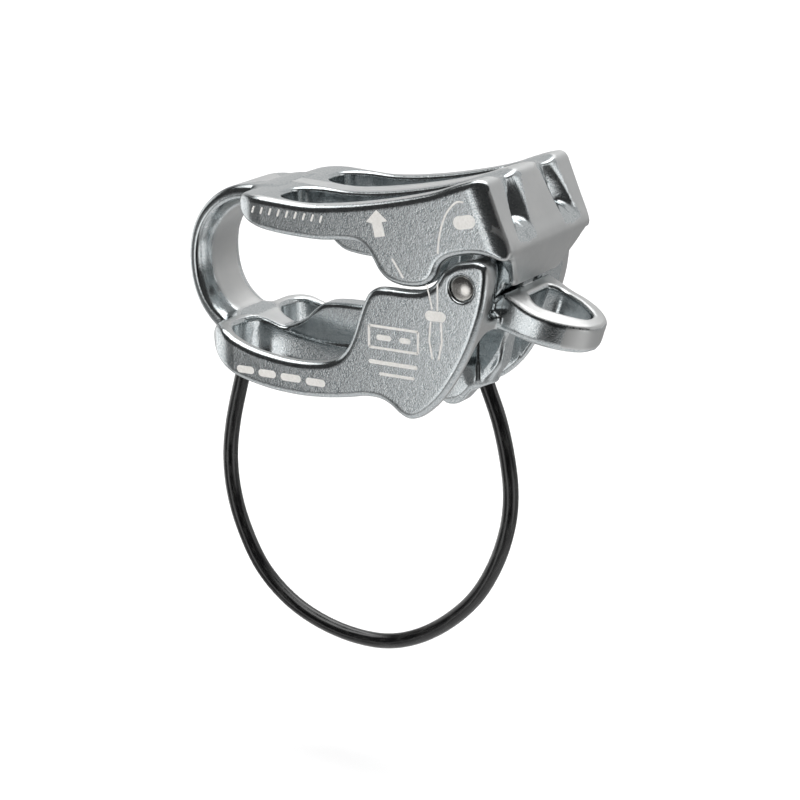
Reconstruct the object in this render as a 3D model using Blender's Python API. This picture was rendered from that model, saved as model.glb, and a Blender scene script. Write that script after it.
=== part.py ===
"""Guide-mode belay device: a folded aluminium forging closed by one rivet, with a sheathed wire keeper loop.

Lengths below are millimetres. Side profiles are (x, z) from the rivet axis, plan shapes are (x, y).
The finished part stands with its origin in the middle of the anchor eye.
"""

import math

import bmesh
import bpy
from mathutils import Matrix, Vector

MM = 0.001

# Driving dimensions
EYE_X, EYE_Z = -55.0, -3.0  # centre of the anchor eye, from the rivet axis
BODY_HALF = 17.5  # half the body's width
EDGE_R = 1.3  # rounding along the side faces
SLOT_PITCH = 17.6  # between the two rope slots
UPPER_SLOT_W = 12.0  # at the wide end
LOWER_SLOT_W = 12.4
SLOT_END_W = 7.0  # upper rope slots, at their narrow end
MID_HALF = 2.5  # half the middle wall
STRAP_HALF = 7.7  # half the anchor loop's width
TONGUE_HALF = 9.0
EAR_INSIDE = 9.5
RIVET_R = 2.4
RIVET_BORE_R = 2.7
KNUCKLE_R = 4.3
CABLE_R = 1.55
CORE_R = 0.8
CORE_BORE_R = 1.1
STOP_R = 1.6
STOP_BORE_R = 1.9
STOP_LENGTH = 5.0

# Side profile of the upper half's outer walls
UPPER_WALL = [
    (-51.5, 10.2), (-50.4, 11.9), (-46.0, 12.5), (-40.0, 12.3), (-34.0, 12.1), (-29.0, 12.5), (-24.0, 13.2),
    (-19.0, 14.1), (-14.0, 15.2), (-10.0, 16.2), (-6.0, 17.4), (-2.0, 19.0), (1.2, 20.1), (3.4, 20.5), (4.7, 19.9),
    (5.5, 18.2), (7.5, 13.4), (9.5, 8.8), (9.4, 7.3), (8.2, 6.5), (5.6, 6.6), (2.4, 6.5), (-0.8, 5.9), (-3.4, 4.9),
    (-4.8, 3.6), (-5.6, 1.6), (-6.8, 0.1), (-8.6, -0.8), (-11.2, -1.2), (-13.6, -1.1), (-16.0, -0.4), (-17.9, 1.2),
    (-19.2, 3.2), (-20.6, 5.0), (-22.6, 6.0), (-26.0, 6.0), (-31.0, 5.5), (-36.0, 5.5), (-41.0, 5.8), (-45.0, 6.4),
    (-48.6, 7.5), (-50.9, 8.8),
]
# Side profile of the lower half's outer walls and ears
LOWER_WALL = [
    (-58.9, -17.2), (-57.4, -15.2), (-54.0, -15.0), (-50.5, -16.3), (-46.5, -17.6), (-42.0, -18.4), (-37.0, -18.8),
    (-32.5, -18.6), (-29.0, -17.9), (-26.5, -16.6), (-24.8, -14.6), (-23.5, -11.8), (-22.4, -8.6), (-21.2, -5.4),
    (-20.0, -3.3), (-18.2, -2.2), (-15.6, -1.9), (-12.8, -1.85), (-10.4, -1.75), (-8.3, -1.35), (-6.6, -0.5),
    (-5.4, 0.8), (-4.3, 2.6), (-2.9, 3.6), (-1.2, 4.6), (1.0, 5.2), (3.4, 5.5), (4.9, 4.9), (5.4, 3.4), (5.2, 0.0),
    (4.6, -3.6), (3.5, -7.4), (2.1, -11.2), (0.4, -14.9), (-1.7, -18.6), (-4.0, -21.9), (-6.5, -24.5), (-9.0, -26.3),
    (-11.3, -26.9), (-13.2, -26.2), (-15.2, -24.8), (-17.4, -23.9), (-20.5, -23.8), (-25.0, -24.7), (-30.5, -25.5),
    (-36.0, -25.8), (-42.0, -25.5), (-47.5, -24.6), (-52.0, -23.2), (-55.8, -21.3), (-58.3, -19.3),
]
# Side profiles of the middle walls
UPPER_MID = [
    (-46.0, 11.0), (-30.0, 11.0), (-14.0, 13.5), (4.0, 18.0), (8.0, 8.0), (7.6, 4.5), (6.6, 0.8), (5.3, -1.2),
    (3.9, -3.9), (0.0, -5.5), (-4.0, -4.4), (-8.0, -3.2), (-14.0, -2.4), (-22.0, -1.2), (-27.0, -0.5), (-31.0, -0.3),
    (-34.4, 0.3), (-36.8, 1.9), (-39.2, 4.4), (-42.0, 7.4),
]
LOWER_MID = [
    (-56.0, -16.4), (-50.0, -17.2), (-46.2, -16.2), (-43.4, -14.6), (-41.2, -12.6), (-39.2, -11.2), (-36.0, -10.6),
    (-30.0, -10.4), (-22.0, -10.0), (-14.0, -9.0), (-8.0, -7.6), (-4.0, -6.8), (0.4, -6.9), (3.0, -9.0),
    (1.6, -12.6), (1.0, -15.6), (0.3, -18.4), (-1.6, -20.9), (-3.4, -22.0), (-5.6, -23.0), (-6.8, -25.2),
    (-8.8, -27.2), (-11.4, -27.6), (-14.0, -25.8), (-18.0, -23.4), (-26.0, -23.6), (-36.0, -24.6), (-46.0, -23.6),
    (-54.0, -21.4),
]
# Centre line of the anchor strap, from the top plate round to the lower plate, with its thickness
STRAP_LINE = [
    (-47.0, 9.6, 4.6), (-52.0, 10.0, 4.4), (-56.5, 9.4, 4.2), (-60.2, 7.5, 4.0), (-63.2, 4.4, 3.9), (-65.0, 0.6, 3.8),
    (-65.6, -3.8, 3.8), (-65.0, -8.6, 3.9), (-63.3, -12.4, 4.2), (-60.4, -15.4, 4.6), (-57.0, -17.4, 5.2),
    (-52.0, -19.4, 5.6),
]
# Half of each plate's plan, from the strap to the right end
UPPER_PLAN = [
    (-54.6, 6.0), (-53.0, 8.8), (-51.9, 11.8), (-50.2, 14.6), (-47.6, 16.6), (-44.0, 17.5), (-36.0, 17.8),
    (6.0, 17.8), (12.0, 17.4),
]
LOWER_PLAN = [
    (-62.0, 5.0), (-60.6, 7.0), (-59.4, 10.0), (-57.4, 13.6), (-54.4, 16.2), (-50.6, 17.5), (-44.0, 17.8),
    (0.0, 17.8), (8.0, 17.8),
]
# Release ring, in the plane of its top face: x outward, y across
RING_TILT = math.radians(17.0)
RING_TOP = (4.0, -2.6)  # where the top face meets the end web
RING_DEEP = 6.7
RING_OUT = [(-3.0, 9.4), (2.0, 9.4), (7.0, 9.3), (11.0, 8.4), (14.5, 6.3), (17.0, 3.4), (17.9, 0.0)]
RING_HOLE = [(3.2, 4.0), (5.4, 5.6), (8.6, 5.3), (12.0, 3.7), (14.4, 1.6), (14.8, 0.0)]
# Keeper cable: centre line in the middle plane, from its front exit round to its rear exit
KEEPER = [
    (-57.9, -22.0), (-58.9, -25.6), (-60.2, -30.4), (-62.4, -39.6), (-63.2, -46.8), (-62.6, -54.0), (-60.4, -61.4),
    (-55.8, -69.8), (-49.4, -75.6), (-42.2, -79.0), (-34.0, -80.7), (-26.2, -80.5), (-19.4, -78.3), (-12.4, -73.9),
    (-5.8, -67.3), (-1.3, -59.4), (1.2, -51.4), (1.8, -45.1), (1.2, -38.9), (-0.8, -30.4), (-3.6, -23.2),
]
KEEPER_POINTS = 61
FRONT_BORE = ((-57.9, -22.0), (-56.2, -16.4))  # mouth, and the direction that the blind bore runs in
REAR_BORE = ((-3.6, -23.2), (-6.4, -16.0))


def clear_scene():
    for obj in list(bpy.data.objects):
        bpy.data.objects.remove(obj, do_unlink=True)


def collection(name, hidden=False):
    made = bpy.data.collections.new(name)
    bpy.context.scene.collection.children.link(made)
    made.hide_render = hidden
    return made


def material(name, colour, roughness, metallic):
    made = bpy.data.materials.new(name)
    made.use_nodes = True
    shader = made.node_tree.nodes["Principled BSDF"]
    shader.inputs["Base Color"].default_value = (*colour, 1.0)
    shader.inputs["Roughness"].default_value = roughness
    shader.inputs["Metallic"].default_value = metallic
    made.diffuse_color = (*colour, 1.0)
    return made


def place(x, y, z):
    """A point given from the rivet axis, in the part's own frame and in metres."""
    return Vector(((x - EYE_X) * MM, y * MM, (z - EYE_Z) * MM))


def rounded(points, closed=True, step=1.6):
    """A smooth line through the points (centripetal Catmull-Rom), sampled about every step."""
    count = len(points)
    dims = len(points[0])
    out = []
    for i in range(count if closed else count - 1):
        four = []
        for k in range(-1, 3):
            j = i + k
            if closed:
                four.append(Vector(points[j % count]))
            elif j < 0:
                four.append(Vector(points[0]) * 2 - Vector(points[1]))
            elif j >= count:
                four.append(Vector(points[-1]) * 2 - Vector(points[-2]))
            else:
                four.append(Vector(points[j]))
        p0, p1, p2, p3 = four
        t = [0.0]
        for a, b in ((p0, p1), (p1, p2), (p2, p3)):
            t.append(t[-1] + max((b - a).length, 1e-6) ** 0.5)
        pieces = max(1, round((p2 - p1).length / step))
        for n in range(pieces):
            s = t[1] + (t[2] - t[1]) * n / pieces
            a1 = p0 * ((t[1] - s) / (t[1] - t[0])) + p1 * ((s - t[0]) / (t[1] - t[0]))
            a2 = p1 * ((t[2] - s) / (t[2] - t[1])) + p2 * ((s - t[1]) / (t[2] - t[1]))
            a3 = p2 * ((t[3] - s) / (t[3] - t[2])) + p3 * ((s - t[2]) / (t[3] - t[2]))
            b1 = a1 * ((t[2] - s) / (t[2] - t[0])) + a2 * ((s - t[0]) / (t[2] - t[0]))
            b2 = a2 * ((t[3] - s) / (t[3] - t[1])) + a3 * ((s - t[1]) / (t[3] - t[1]))
            out.append(tuple((b1 * ((t[2] - s) / (t[2] - t[1])) + b2 * ((s - t[1]) / (t[2] - t[1])))[:dims]))
    if not closed:
        out.append(tuple(points[-1]))
    return out


def as_mesh(obj, name, group):
    """The curve object's shape as a mesh object with welded seams."""
    bpy.context.view_layer.update()
    graph = bpy.context.evaluated_depsgraph_get()
    mesh = bpy.data.meshes.new_from_object(obj.evaluated_get(graph))
    work = bmesh.new()
    work.from_mesh(mesh)
    bmesh.ops.remove_doubles(work, verts=work.verts, dist=0.00001)
    bmesh.ops.recalc_face_normals(work, faces=work.faces)
    work.to_mesh(mesh)
    work.free()
    made = bpy.data.objects.new(name, mesh)
    made.matrix_world = obj.matrix_world.copy()
    group.objects.link(made)
    data = obj.data
    bpy.data.objects.remove(obj, do_unlink=True)
    bpy.data.curves.remove(data)
    return made


def flat_outline(name, outlines, half, bevel=0.0):
    """A filled 2D curve, half the given thickness each way, with its rims rounded by bevel."""
    curve = bpy.data.curves.new(name + "_line", "CURVE")
    curve.dimensions = "2D"
    curve.fill_mode = "BOTH"
    curve.extrude = (half - bevel) * MM
    curve.bevel_depth = bevel * MM
    curve.bevel_resolution = 1 if bevel else 0
    curve.offset = -bevel * MM
    for points in outlines:
        spline = curve.splines.new("POLY")
        spline.points.add(len(points) - 1)
        for point, (x, y) in zip(spline.points, points):
            point.co = (x * MM, y * MM, 0.0, 1.0)
        spline.use_cyclic_u = True
    obj = bpy.data.objects.new(name + "_line", curve)
    bpy.context.scene.collection.objects.link(obj)
    return obj


def side_prism(name, profile, low, high, group, bevel=0.0):
    """The side profile, across the body from y = low to y = high."""
    obj = flat_outline(name, [profile], (high - low) / 2, bevel)
    obj.matrix_world = Matrix.Translation(place(0, (low + high) / 2, 0)) @ Matrix.Rotation(math.pi / 2, 4, "X")
    return as_mesh(obj, name, group)


def plan_prism(name, plan, low, high, group):
    """The plan shape, upright from z = low to z = high."""
    obj = flat_outline(name, [plan], (high - low) / 2)
    obj.matrix_world = Matrix.Translation(place(0, 0, (low + high) / 2))
    return as_mesh(obj, name, group)


def mirrored(half_plan):
    """A closed plan from its +y half."""
    line = rounded(half_plan, closed=False, step=2.0)
    return line + [(x, -y) for x, y in reversed(line) if abs(y) > 1e-6]


def boolean(target, other, operation):
    modifier = target.modifiers.new(operation.lower(), "BOOLEAN")
    modifier.operation = operation
    modifier.solver = "EXACT"
    modifier.object = other
    bpy.context.view_layer.update()
    graph = bpy.context.evaluated_depsgraph_get()
    mesh = bpy.data.meshes.new_from_object(target.evaluated_get(graph))
    target.modifiers.clear()
    old = target.data
    target.data = mesh
    bpy.data.meshes.remove(old)
    bpy.data.objects.remove(other, do_unlink=True)


def cylinder(name, radius, start, end, group, sides=28):
    """A round bar between two points given from the rivet axis."""
    a, b = place(*start), place(*end)
    bpy.ops.mesh.primitive_cylinder_add(vertices=sides, radius=radius * MM, depth=(b - a).length)
    obj = bpy.context.active_object
    obj.name = name
    obj.matrix_world = Matrix.Translation((a + b) / 2) @ (b - a).to_track_quat("Z", "Y").to_matrix().to_4x4()
    for user in list(obj.users_collection):
        user.objects.unlink(obj)
    group.objects.link(obj)
    return obj


def tube(name, points, radius, group, resolution=2):
    """A round cord along the points (x, z) of the middle plane."""
    curve = bpy.data.curves.new(name + "_line", "CURVE")
    curve.dimensions = "3D"
    curve.bevel_depth = radius * MM
    curve.bevel_resolution = resolution
    curve.use_fill_caps = True
    spline = curve.splines.new("POLY")
    spline.points.add(len(points) - 1)
    for point, (x, z) in zip(spline.points, points):
        point.co = (*place(x, 0, z), 1.0)
    obj = bpy.data.objects.new(name + "_line", curve)
    bpy.context.scene.collection.objects.link(obj)
    return as_mesh(obj, name, group)


def even(points, count):
    """The same line with its points evenly spaced."""
    line = rounded(points, closed=False, step=0.6)
    run = [0.0]
    for a, b in zip(line, line[1:]):
        run.append(run[-1] + math.dist(a, b))
    out = []
    j = 0
    for i in range(count):
        want = run[-1] * i / (count - 1)
        while j < len(run) - 2 and run[j + 1] < want:
            j += 1
        s = (want - run[j]) / max(run[j + 1] - run[j], 1e-9)
        out.append(tuple(a + (b - a) * min(max(s, 0.0), 1.0) for a, b in zip(line[j], line[j + 1])))
    return out


def strap_outline():
    """Both sides of the anchor strap, from its centre line and thickness."""
    line = rounded(STRAP_LINE, closed=False, step=2.0)
    outer, inner = [], []
    for i, (x, z, thick) in enumerate(line):
        a, b = line[max(i - 1, 0)], line[min(i + 1, len(line) - 1)]
        along = Vector((b[0] - a[0], b[1] - a[1])).normalized()
        outward = Vector((along.y, -along.x)) * (thick / 2)
        outer.append((x + outward.x, z + outward.y))
        inner.append((x - outward.x, z - outward.y))
    return outer + inner[::-1]


def slot_plan(side, left, right, wide, narrow, taper_from):
    """Plan of one rope slot: a round left end, then a taper to its right end."""
    centre = side * SLOT_PITCH / 2
    half = wide / 2
    points = []
    for i in range(11):
        angle = math.pi / 2 + math.pi * i / 10
        points.append((left + half * (1 + math.cos(angle)) * 1.15, centre + half * math.sin(angle)))
    points += [(taper_from, centre - half), (right, centre - narrow / 2), (right, centre + narrow / 2)]
    points.append((taper_from, centre + half))
    return points


def hull(name, corners, group):
    """The convex solid round the corners, given from the rivet axis."""
    mesh = bpy.data.meshes.new(name)
    work = bmesh.new()
    for corner in corners:
        work.verts.new(place(*corner))
    bmesh.ops.convex_hull(work, input=work.verts)
    bmesh.ops.recalc_face_normals(work, faces=work.faces)
    work.to_mesh(mesh)
    work.free()
    obj = bpy.data.objects.new(name, mesh)
    group.objects.link(obj)
    return obj


def box(name, x, y, z, group):
    bpy.ops.mesh.primitive_cube_add(size=1.0)
    obj = bpy.context.active_object
    obj.name = name
    low, high = place(x[0], y[0], z[0]), place(x[1], y[1], z[1])
    for vertex in obj.data.vertices:
        vertex.co = Vector([low[i] + (high[i] - low[i]) * (vertex.co[i] + 0.5) for i in range(3)])
    for user in list(obj.users_collection):
        user.objects.unlink(obj)
    group.objects.link(obj)
    return obj


def ring_solid(name, outline, low, high, group):
    """A shape drawn in the plane of the ring's top face, between two depths below it."""
    obj = flat_outline(name, [outline], (high - low) / 2)
    obj.matrix_world = (
        Matrix.Translation(place(RING_TOP[0], 0, RING_TOP[1]))
        @ Matrix.Rotation(RING_TILT, 4, "Y")
        @ Matrix.Translation(Vector((0, 0, -(low + high) / 2 * MM)))
    )
    return as_mesh(obj, name, group)


def forged_body(parts, tools):
    # Upper half: walls, rounded in plan, then the rope slots and the V-grooves
    body = side_prism("forged_body", rounded(UPPER_WALL, step=1.9), -BODY_HALF, BODY_HALF, parts, EDGE_R)
    boolean(body, plan_prism("upper_plan", mirrored(UPPER_PLAN), -3.0, 24.0, tools), "INTERSECT")
    for side in (-1, 1):
        plan = slot_plan(side, -43.0, -5.0, UPPER_SLOT_W, SLOT_END_W, -34.0)
        boolean(body, plan_prism("upper_slot", plan, -6.0, 26.0, tools), "DIFFERENCE")
        # A V down the leaning end face that runs out at its foot, and a shallow saddle up to the rope slot
        v_line = [(6.1, 8.9, 11.3), (3.9, 6.6, 21.5), (9.55, 9.1, 9.3), (12.0, 9.1, 8.4)]
        v_line += [(8.4, 5.8, 12.1), (8.4, 12.0, 12.1), (12.0, 5.3, 12.1), (12.0, 12.5, 12.1)]
        v_line += [(4.4, 3.2, 21.5), (4.4, 10.6, 21.5), (12.0, 3.0, 21.5), (12.0, 10.8, 21.5)]
        boolean(body, hull("v_groove", [(x, side * y, z) for x, y, z in v_line], tools), "DIFFERENCE")
        saddle = [(-6.0, 8.8, 16.2), (6.2, 6.8, 19.2), (-6.0, 5.3, 17.7), (-6.0, 12.3, 17.7)]
        saddle += [(x, y, z) for x, low, high in ((-6.0, 5.2, 12.4), (6.2, 3.3, 10.5)) for y in (low, high) for z in (20.9, 25.0)]
        boolean(body, hull("saddle", [(x, side * y, z) for x, y, z in saddle], tools), "DIFFERENCE")
        corners = []
        for z in (5.0, 24.0):
            end = 4.9 + (20.3 - z) * 0.42  # the leaning end face at this height
            corners += [(end - 4.2, side * (BODY_HALF + 0.05), z), (end + 0.3, side * 15.5, z), (end + 3.0, side * 20.0, z)]
        boolean(body, hull("end_corner", corners, tools), "DIFFERENCE")
    # Middle wall, knuckle and tongue of the upper half
    boolean(body, side_prism("upper_mid", UPPER_MID, -MID_HALF, MID_HALF, tools), "UNION")
    tongue = [(-5.4, 4.0), (-4.6, 9.0), (6.0, 12.0), (9.3, 9.0), (8.9, 5.4), (8.0, 2.8), (7.0, 0.2), (5.8, -0.4), (4.5, -0.5)]
    tongue += [(KNUCKLE_R * math.cos(a), KNUCKLE_R * math.sin(a)) for a in [math.radians(-12 - 14 * i) for i in range(13)]]
    boolean(body, side_prism("tongue", tongue, -TONGUE_HALF, TONGUE_HALF, tools), "UNION")
    for side in (-1, 1):
        front = [(9.25, 14.4, 7.6), (9.0, 13.2, 5.6), (7.1, 9.2, 0.7), (9.2, 8.0, 7.6), (7.1, 8.0, 0.7)]
        corners = front + [(6.2, y, z) for _, y, z in front]
        boolean(body, hull("tongue_shoulder", [(x, side * y, z) for x, y, z in corners], tools), "UNION")

    # Lower half: walls and ears, rounded in plan, then the rope slots and the pocket for the tongue
    lower = side_prism("lower_half", rounded(LOWER_WALL, step=1.9), -BODY_HALF, BODY_HALF, tools, EDGE_R)
    boolean(lower, plan_prism("lower_plan", mirrored(LOWER_PLAN), -30.0, 8.0, tools), "INTERSECT")
    for side in (-1, 1):
        plan = slot_plan(side, -54.4, 1.6, LOWER_SLOT_W, LOWER_SLOT_W, -10.0)
        boolean(lower, plan_prism("lower_slot", plan, -30.0, 8.0, tools), "DIFFERENCE")
    boolean(lower, side_prism("lower_mid", LOWER_MID, -MID_HALF, MID_HALF, tools), "UNION")
    boolean(lower, box("under_web", (-4.0, 12.0), (MID_HALF, BODY_HALF - 2.7), (-32.0, -9.6), tools), "DIFFERENCE")
    boolean(lower, box("under_web", (-4.0, 12.0), (2.7 - BODY_HALF, -MID_HALF), (-32.0, -9.6), tools), "DIFFERENCE")
    ring = [(x, y) for x, y in rounded(RING_OUT, closed=False, step=2.0)]
    ring += [(x, -y) for x, y in reversed(ring[:-1])]
    boolean(lower, ring_solid("release_ring", ring, 0.0, RING_DEEP, tools), "UNION")
    hole = [(x, y) for x, y in rounded(RING_HOLE, closed=False, step=1.5)]
    hole += [(x, -y) for x, y in reversed(hole[:-1])]
    boolean(lower, ring_solid("release_hole", hole, -4.0, RING_DEEP + 4.0, tools), "DIFFERENCE")
    pocket = [(12.0, -0.4), (12.0, 8.0), (-24.0, 8.0), (-24.0, -7.0), (-8.0, -6.4), (-4.4, -5.4)]
    pocket += [((KNUCKLE_R + 0.6) * math.cos(a), (KNUCKLE_R + 0.6) * math.sin(a)) for a in [math.radians(-120 + 14 * i) for i in range(8)]]
    boolean(lower, side_prism("knuckle_pocket", pocket, -EAR_INSIDE, EAR_INSIDE, tools), "DIFFERENCE")
    boolean(body, lower, "UNION")

    # The anchor strap joins the halves at the left
    boolean(body, side_prism("anchor_strap", strap_outline(), -STRAP_HALF, STRAP_HALF, tools, 1.0), "UNION")

    # Bores for the rivet and for the keeper's ends
    boolean(body, cylinder("rivet_bore", RIVET_BORE_R, (0, -30, 0), (0, 30, 0), tools), "DIFFERENCE")
    for (mouth, inner) in (FRONT_BORE, REAR_BORE):
        away = (Vector(mouth) - Vector(inner)).normalized()
        out = Vector(mouth) + away * 4.0
        end = Vector(mouth) - away * (STOP_LENGTH + 1.4)
        boolean(body, cylinder("keeper_bore", STOP_BORE_R, (out.x, 0, out.y), (end.x, 0, end.y), tools, 16), "DIFFERENCE")
    return body


def main():
    clear_scene()
    parts = collection("belay_device")
    tools = collection("cutters", hidden=True)
    polished = material("polished_aluminium", (0.62, 0.65, 0.66), 0.28, 1.0)
    steel = material("rivet_steel", (0.72, 0.70, 0.67), 0.3, 1.0)
    wire = material("wire_steel", (0.5, 0.5, 0.5), 0.4, 1.0)
    black = material("black_sheath", (0.015, 0.015, 0.017), 0.35, 0.0)

    body = forged_body(parts, tools)
    body.data.materials.clear()
    body.data.materials.append(polished)

    rivet = cylinder("closing_rivet", RIVET_R, (0, -BODY_HALF + 0.1, 0), (0, BODY_HALF - 0.1, 0), parts, 32)
    rivet.data.materials.append(steel)

    # The keeper hangs on the line through its two exits, and swings about it
    front, rear = Vector(KEEPER[0]), Vector(KEEPER[-1])
    hinge = bpy.data.objects.new("keeper_hinge", None)
    hinge.location = (place(front.x, 0, front.y) + place(rear.x, 0, rear.y)) / 2
    parts.objects.link(hinge)
    bpy.context.view_layer.update()
    line = even(KEEPER, KEEPER_POINTS)
    sheath = tube("keeper_sheath", line, CABLE_R, parts)
    first, last = Vector(line[0]) - Vector(line[1]), Vector(line[-1]) - Vector(line[-2])
    longer = [tuple(Vector(line[0]) + first), *line, tuple(Vector(line[-1]) + last)]
    boolean(sheath, tube("core_bore", longer, CORE_BORE_R, tools), "DIFFERENCE")
    sheath.data.materials.append(black)
    core = tube("keeper_core", line, CORE_R, parts)
    core.data.materials.append(wire)
    for piece in (sheath, core):
        piece.parent = hinge
        piece.matrix_parent_inverse = hinge.matrix_world.inverted()

    for name, (mouth, inner) in (("front_cable_stop", FRONT_BORE), ("rear_cable_stop", REAR_BORE)):
        into = (Vector(inner) - Vector(mouth)).normalized()
        a = Vector(mouth) + into * 1.0
        b = a + into * STOP_LENGTH
        stop = cylinder(name, STOP_R, (a.x, 0, a.y), (b.x, 0, b.y), parts, 16)
        stop.data.materials.append(wire)

    for obj in parts.objects:
        if obj.type == "MESH":
            for face in obj.data.polygons:
                face.use_smooth = obj.name != "forged_body"
    for obj in tools.objects:
        obj.display_type = "WIRE"


main()
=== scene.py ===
"""Looks for the belay device: a smooth forging, its rivet and its keeper cable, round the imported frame.

Lengths in the tables are millimetres from the rivet axis, side profiles as (x, z) and plan shapes as (x, y).
"""

import math

import bpy
import numpy as np
from mathutils import Matrix, Vector


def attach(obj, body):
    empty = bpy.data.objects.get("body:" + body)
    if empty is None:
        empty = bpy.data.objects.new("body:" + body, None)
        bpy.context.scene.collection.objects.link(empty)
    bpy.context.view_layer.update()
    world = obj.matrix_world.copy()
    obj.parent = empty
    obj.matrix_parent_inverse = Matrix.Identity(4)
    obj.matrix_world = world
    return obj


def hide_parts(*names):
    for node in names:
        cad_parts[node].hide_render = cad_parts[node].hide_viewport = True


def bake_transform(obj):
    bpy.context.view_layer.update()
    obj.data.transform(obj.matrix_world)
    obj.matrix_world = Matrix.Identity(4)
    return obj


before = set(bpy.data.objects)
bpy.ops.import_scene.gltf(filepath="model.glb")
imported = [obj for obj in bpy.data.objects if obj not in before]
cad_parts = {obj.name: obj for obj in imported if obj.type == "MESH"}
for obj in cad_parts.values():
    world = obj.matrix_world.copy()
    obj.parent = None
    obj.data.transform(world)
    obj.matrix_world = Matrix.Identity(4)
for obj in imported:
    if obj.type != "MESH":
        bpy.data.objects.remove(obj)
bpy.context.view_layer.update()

MM = 0.001
SHIFT = np.array((55.0, 0.0, 3.0))  # from the rivet axis to the row's own frame
VOXEL = 0.3

BODY_HALF = 17.5
UPPER_WALL = [
    (-51.5, 10.2), (-50.4, 11.9), (-46.0, 12.5), (-40.0, 12.3), (-34.0, 12.1), (-29.0, 12.5), (-24.0, 13.2),
    (-19.0, 14.1), (-14.0, 15.2), (-10.0, 16.2), (-6.0, 17.4), (-2.0, 19.0), (1.2, 20.1), (3.4, 20.5), (4.7, 19.9),
    (5.5, 18.2), (7.5, 13.4), (9.45, 8.8), (9.7, 7.2), (9.0, 6.2), (7.8, 6.0), (5.6, 6.4), (2.4, 6.5), (-0.8, 5.9), (-3.4, 4.9),
    (-4.8, 3.6), (-5.6, 1.6), (-6.8, 0.1), (-8.6, -0.8), (-11.2, -1.2), (-13.6, -1.1), (-16.0, -0.4), (-17.9, 1.2),
    (-19.2, 3.2), (-20.6, 5.0), (-22.6, 6.0), (-26.0, 6.0), (-31.0, 5.5), (-36.0, 5.5), (-41.0, 5.8), (-45.0, 6.4),
    (-48.6, 7.5), (-50.9, 8.8),
]
LOWER_WALL = [
    (-58.9, -17.2), (-57.4, -15.2), (-54.0, -15.0), (-50.5, -16.3), (-46.5, -17.6), (-42.0, -18.4), (-37.0, -18.8),
    (-32.5, -18.6), (-29.0, -17.9), (-26.5, -16.6), (-24.8, -14.6), (-23.5, -11.8), (-22.4, -8.6), (-21.2, -5.4),
    (-20.0, -3.3), (-18.2, -2.2), (-15.6, -1.9), (-12.8, -1.85), (-10.4, -1.75), (-8.3, -1.35), (-6.6, -0.5),
    (-5.4, 0.8), (-4.3, 2.6), (-2.9, 3.6), (-1.2, 4.6), (1.0, 5.2), (3.4, 5.5), (4.9, 4.9), (5.4, 3.4), (5.2, 0.0),
    (4.6, -3.6), (3.5, -7.4), (2.1, -11.2), (0.4, -14.9), (-1.7, -18.6), (-4.0, -21.9), (-6.5, -24.5), (-9.0, -26.3),
    (-11.3, -26.9), (-13.2, -26.2), (-15.2, -24.8), (-17.4, -23.9), (-20.5, -23.8), (-25.0, -24.7), (-30.5, -25.5),
    (-36.0, -25.8), (-42.0, -25.5), (-47.5, -24.6), (-52.0, -23.2), (-55.8, -21.3), (-58.3, -19.3),
]
UPPER_MID = [
    (-46.0, 11.0), (-30.0, 11.0), (-14.0, 13.5), (4.0, 18.0), (8.0, 8.0), (7.6, 4.5), (6.6, 0.8), (5.3, -1.2),
    (3.9, -3.9), (0.0, -5.5), (-4.0, -4.4), (-8.0, -3.2), (-14.0, -2.4), (-22.0, -1.2), (-27.0, -0.5), (-31.0, -0.3),
    (-34.4, 0.3), (-36.8, 1.9), (-39.2, 4.4), (-42.0, 7.4),
]
LOWER_MID = [
    (-56.0, -16.4), (-50.0, -17.2), (-46.2, -16.2), (-43.4, -14.6), (-41.2, -12.6), (-39.2, -11.2), (-36.0, -10.6),
    (-30.0, -10.4), (-22.0, -10.0), (-14.0, -9.0), (-8.0, -7.6), (-4.0, -6.8), (0.4, -6.9), (3.0, -9.0),
    (1.6, -12.6), (1.0, -15.6), (0.3, -18.4), (-1.6, -20.9), (-3.4, -22.0), (-5.6, -23.0), (-6.8, -25.2),
    (-8.8, -27.2), (-11.4, -27.6), (-14.0, -25.8), (-18.0, -23.4), (-26.0, -23.6), (-36.0, -24.6), (-46.0, -23.6),
    (-54.0, -21.4),
]
STRAP_LINE = [
    (-47.0, 9.6, 4.6), (-52.0, 10.0, 4.4), (-56.5, 9.4, 4.2), (-60.2, 7.5, 4.0), (-63.2, 4.4, 3.9), (-65.0, 0.6, 3.8),
    (-65.6, -3.8, 3.8), (-65.0, -8.6, 3.9), (-63.3, -12.4, 4.2), (-60.4, -15.4, 4.6), (-57.0, -17.4, 5.2),
    (-55.0, -18.3, 5.4),
]
TONGUE = [
    (-5.4, 4.0), (-4.6, 9.0), (6.0, 12.0), (9.1, 9.6), (9.5, 8.4), (9.6, 7.0), (9.0, 4.6), (8.0, 2.2), (7.1, 0.3),
    (6.7, -0.2), (5.8, -0.45), (4.5, -0.45), (4.1, -1.6), (2.9, -3.1), (0.9, -4.1), (-1.4, -4.2), (-3.8, -3.2), (-5.2, -1.0), (-5.6, 1.4),
]
POCKET = [
    (12.0, 1.0), (12.0, 8.0), (-24.0, 8.0), (-24.0, -7.0), (-8.0, -6.4), (-4.4, -5.0), (-2.2, -4.9), (0.0, -4.9),
    (2.2, -4.4), (3.8, -3.2), (4.6, -1.9), (6.6, -1.2),
]
UPPER_PLAN = [
    (-54.6, 6.0), (-53.0, 8.8), (-51.9, 11.8), (-50.2, 14.6), (-47.6, 16.6), (-44.0, 17.5), (-36.0, 17.8),
    (6.0, 17.8), (12.0, 17.4),
]
LOWER_PLAN = [
    (-62.0, 5.0), (-60.6, 7.0), (-59.4, 10.0), (-57.4, 13.6), (-54.4, 16.2), (-50.6, 17.5), (-44.0, 17.8),
    (0.0, 17.8), (8.0, 17.8),
]
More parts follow.
